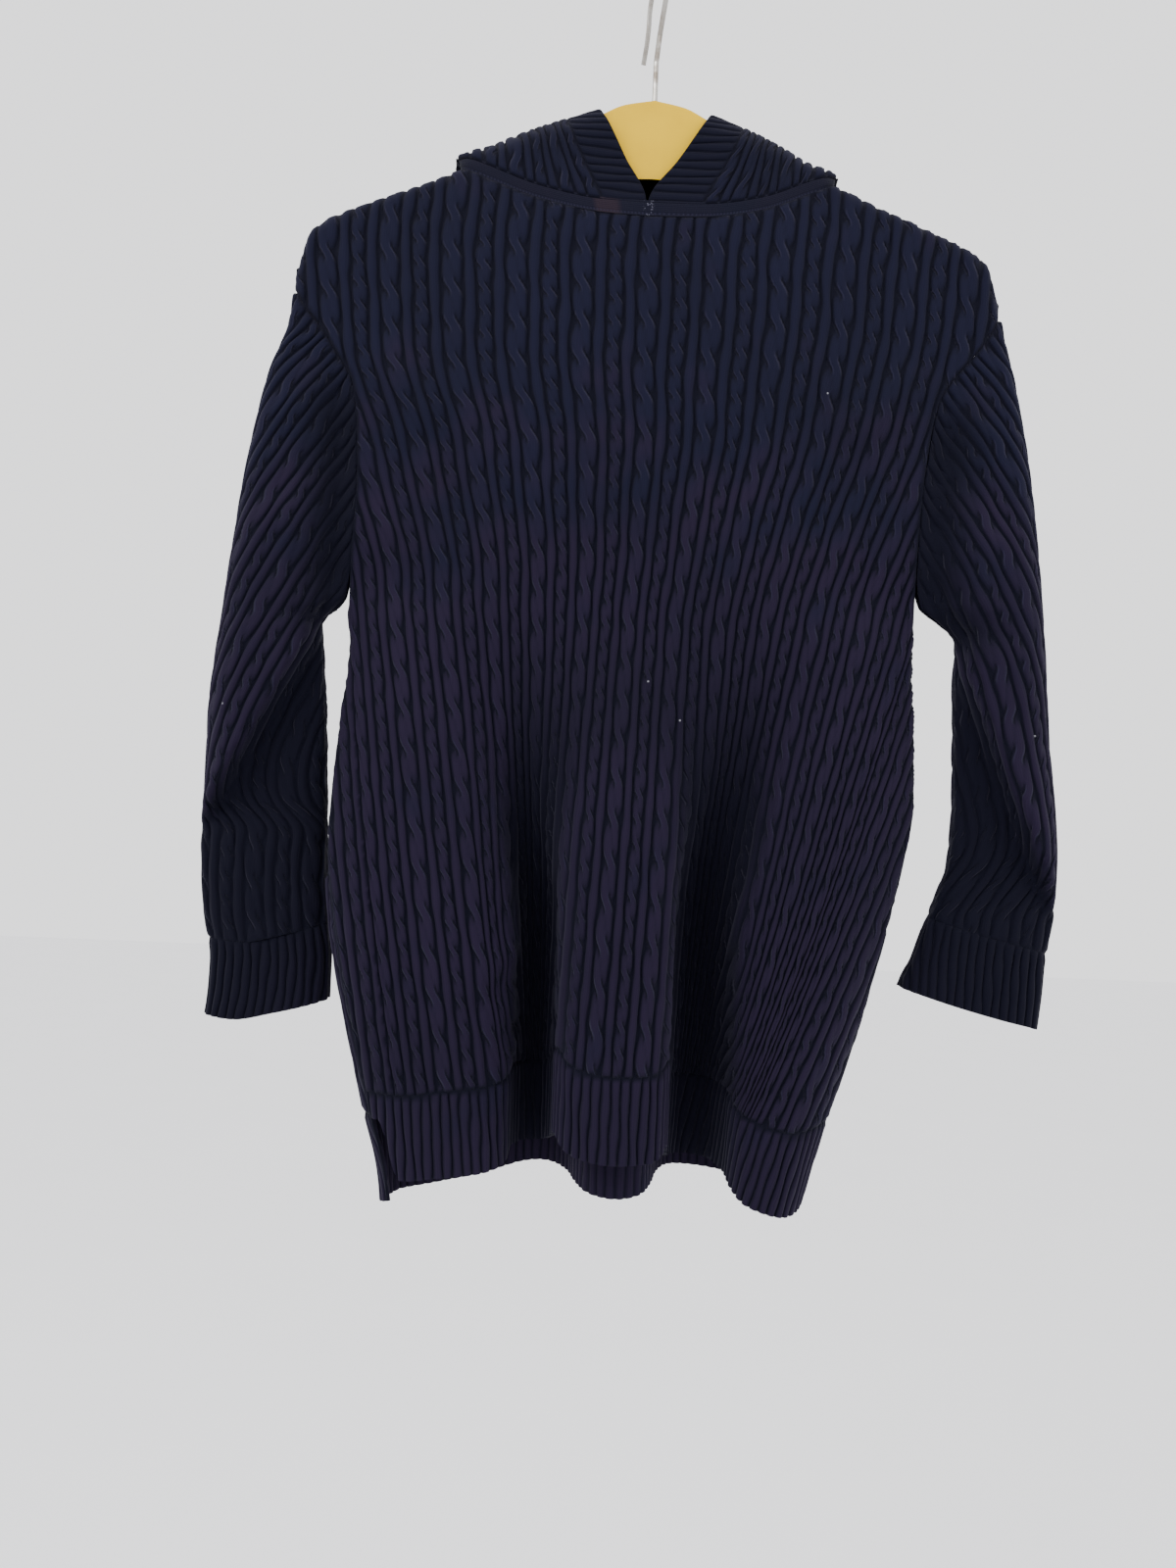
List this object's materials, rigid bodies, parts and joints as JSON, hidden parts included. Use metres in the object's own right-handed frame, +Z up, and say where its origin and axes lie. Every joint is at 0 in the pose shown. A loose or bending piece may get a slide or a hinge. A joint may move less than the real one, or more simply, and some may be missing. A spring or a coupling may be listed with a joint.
{
  "type": "hooded cable-knit sweater on a hanger",
  "caption": "Dark navy hooded cable-knit sweater with ribbed hem, cuffs and hood edge, hanging on a flat yellow plastic hanger with a steel wire hook.",
  "frame": {"origin": "inner top of the wire hook, where it rests on a bar", "axes": "+Z up, -Y out of the front of the sweater, +X to the right as seen from the front"},
  "size_m": [0.5438, 0.1167, 0.7995],
  "materials": {
    "navy_knit": "matte",
    "navy_tape": "matte",
    "yellow_plastic": "satin",
    "hook_steel": "satin"
  },
  "bodies": {
    "root": {"front": "navy_knit", "back": "navy_knit", "sleeve_left": "navy_knit", "sleeve_right": "navy_knit", "hood": "navy_knit", "hood_border": "navy_knit", "neck_tape": "navy_tape", "hanger_body": "yellow_plastic", "hanger_hook": "hook_steel"}
  },
  "joints": []
}
